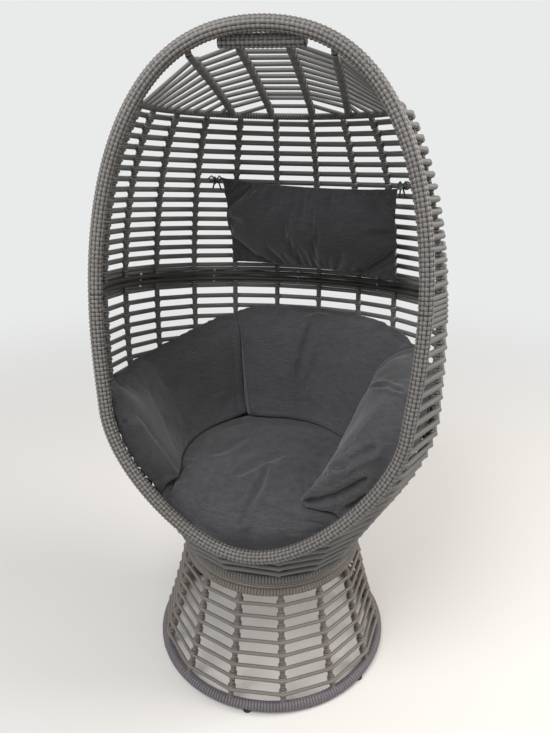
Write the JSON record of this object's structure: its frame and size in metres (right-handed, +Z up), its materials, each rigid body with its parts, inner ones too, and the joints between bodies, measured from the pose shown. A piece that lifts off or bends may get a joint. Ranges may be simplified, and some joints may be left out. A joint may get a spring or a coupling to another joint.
{
  "type": "standing egg chair",
  "caption": "Standing egg chair: a woven egg-shaped pod with an open front and loose cushions, turning on a flared woven drum base.",
  "frame": {"origin": "on the floor under the middle of the chair's width and depth", "axes": "+Z up, -Y out of the open front, +X to the right of somebody who looks into the chair"},
  "size_m": [0.817, 0.7158, 1.5416],
  "materials": {
    "pod_weave": "matt",
    "base_weave": "matt",
    "coated_steel": "satin",
    "plated_steel": "satin",
    "glide_plastic": "matt",
    "cushion_cloth": "matt",
    "pillow_cloth": "matt"
  },
  "bodies": {
    "base": {"foot_glides": "glide_plastic", "glide_screws": "plated_steel", "foot_ring_wrap": "base_weave", "foot_ring_tube": "coated_steel", "base_ring_wrap": "base_weave", "base_ring_tube": "coated_steel", "base_ribs": "coated_steel", "base_courses": "base_weave", "base_cross_bars": "coated_steel", "base_swivel_plate": "coated_steel", "base_plate_bolts": "plated_steel", "base_plate_nuts": "plated_steel", "lower_race": "plated_steel", "bearing_balls": "plated_steel", "centre_pin": "plated_steel", "pin_washer": "plated_steel", "pin_nut": "plated_steel"},
    "pod": {"pod_cross_bars": "coated_steel", "pod_swivel_plate": "coated_steel", "pod_plate_bolts": "plated_steel", "pod_plate_nuts": "plated_steel", "upper_race": "plated_steel", "pin_bush": "glide_plastic", "pod_ring_wrap": "pod_weave", "pod_ring_tube": "coated_steel", "lower_rim_wrap": "pod_weave", "upper_rim_wrap": "pod_weave", "lower_rim_tube": "coated_steel", "upper_rim_tube": "coated_steel", "rim_spigots": "coated_steel", "crown_bar_wrap": "pod_weave", "crown_bar_tube": "coated_steel", "lower_mid_hoop": "coated_steel", "upper_mid_hoop": "coated_steel", "half_joint_bolts": "plated_steel", "half_joint_nuts": "plated_steel", "hood_hoop": "coated_steel", "bowl_ribs": "coated_steel", "front_bowl_ribs": "coated_steel", "wall_ribs": "coated_steel", "hood_ribs": "coated_steel", "hood_strands": "pod_weave", "bowl_courses": "pod_weave", "band_courses": "pod_weave", "wall_courses": "pod_weave", "seat_cushion": "cushion_cloth", "left_side_cushion": "cushion_cloth", "back_cushion": "cushion_cloth", "right_side_cushion": "cushion_cloth", "head_pillow": "pillow_cloth", "pillow_ties": "pillow_cloth"}
  },
  "joints": [
    {"name": "pod_swivel", "type": "hinge", "parent": "base", "child": "pod", "pos_m": [0, -0.04483, 0.3], "axis": [0, 0, 1], "continuous": true}
  ]
}
